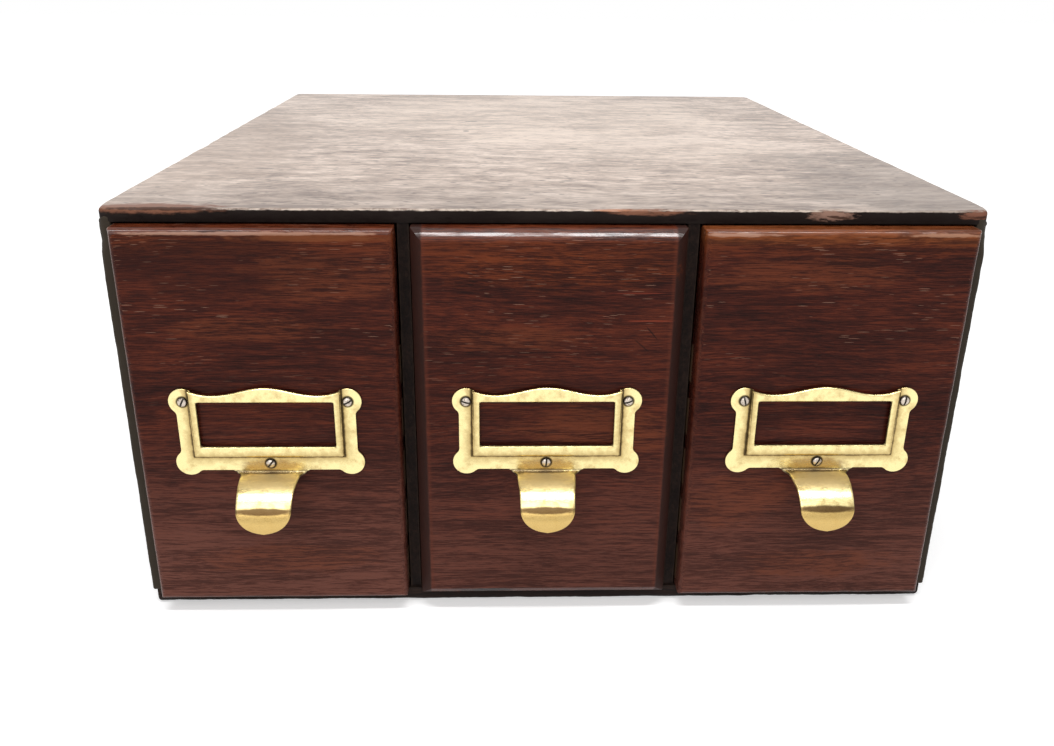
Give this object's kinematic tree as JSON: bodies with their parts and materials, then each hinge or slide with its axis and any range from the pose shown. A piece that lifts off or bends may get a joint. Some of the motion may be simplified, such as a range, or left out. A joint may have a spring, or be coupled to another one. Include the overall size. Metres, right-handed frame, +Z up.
{
  "type": "card file cabinet",
  "caption": "Low desk-top card file cabinet: a wooden case with deep drawers side by side, each with a brass label holder and curled finger pull.",
  "frame": {"origin": "centre of the case's underside, on the surface that it stands on", "axes": "+X to the right as seen from the front, +Y from the drawer fronts to the back, +Z up"},
  "size_m": [0.38, 0.4832, 0.195],
  "materials": {
    "top_wood": "worn satin varnish",
    "case_wood": "dark stained, worn",
    "front_wood": "glossy red-brown varnish",
    "box_wood": "bare, aged",
    "panel_wood": "bare, aged",
    "follower_wood": "satin varnish",
    "brass": "polished, aged in the corners",
    "screw_steel": "worn",
    "steel": "dull"
  },
  "bodies": {
    "case": {"top_board": "top_wood", "base_board": "case_wood", "left_side": "case_wood", "right_side": "case_wood", "left_divider": "case_wood", "right_divider": "case_wood", "back_panel": "case_wood", "base_nails": "steel", "back_pins": "steel"},
    "left_drawer": {"left_drawer_front": "front_wood", "left_drawer_left_side": "box_wood", "left_drawer_right_side": "box_wood", "left_drawer_back": "box_wood", "left_drawer_bottom": "panel_wood", "left_drawer_bottom_pins": "steel", "left_label_holder": "brass", "left_label_holder_screws": "screw_steel"},
    "left_follower": {"left_card_follower": "follower_wood"},
    "middle_drawer": {"middle_drawer_front": "front_wood", "middle_drawer_left_side": "box_wood", "middle_drawer_right_side": "box_wood", "middle_drawer_back": "box_wood", "middle_drawer_bottom": "panel_wood", "middle_drawer_bottom_pins": "steel", "middle_label_holder": "brass", "middle_label_holder_screws": "screw_steel"},
    "middle_follower": {"middle_card_follower": "follower_wood"},
    "right_drawer": {"right_drawer_front": "front_wood", "right_drawer_left_side": "box_wood", "right_drawer_right_side": "box_wood", "right_drawer_back": "box_wood", "right_drawer_bottom": "panel_wood", "right_drawer_bottom_pins": "steel", "right_label_holder": "brass", "right_label_holder_screws": "screw_steel"},
    "right_follower": {"right_card_follower": "follower_wood"}
  },
  "joints": [
    {"name": "left_drawer_slide", "type": "slide", "parent": "case", "child": "left_drawer", "axis": [0, -1, 0], "range_m": [0, 0.36]},
    {"name": "left_follower_slide", "type": "slide", "parent": "left_drawer", "child": "left_follower", "axis": [0, -1, 0], "range_m": [0, 0.33]},
    {"name": "middle_drawer_slide", "type": "slide", "parent": "case", "child": "middle_drawer", "axis": [0, -1, 0], "range_m": [0, 0.36]},
    {"name": "middle_follower_slide", "type": "slide", "parent": "middle_drawer", "child": "middle_follower", "axis": [0, -1, 0], "range_m": [0, 0.33]},
    {"name": "right_drawer_slide", "type": "slide", "parent": "case", "child": "right_drawer", "axis": [0, -1, 0], "range_m": [0, 0.36]},
    {"name": "right_follower_slide", "type": "slide", "parent": "right_drawer", "child": "right_follower", "axis": [0, -1, 0], "range_m": [0, 0.33]}
  ]
}
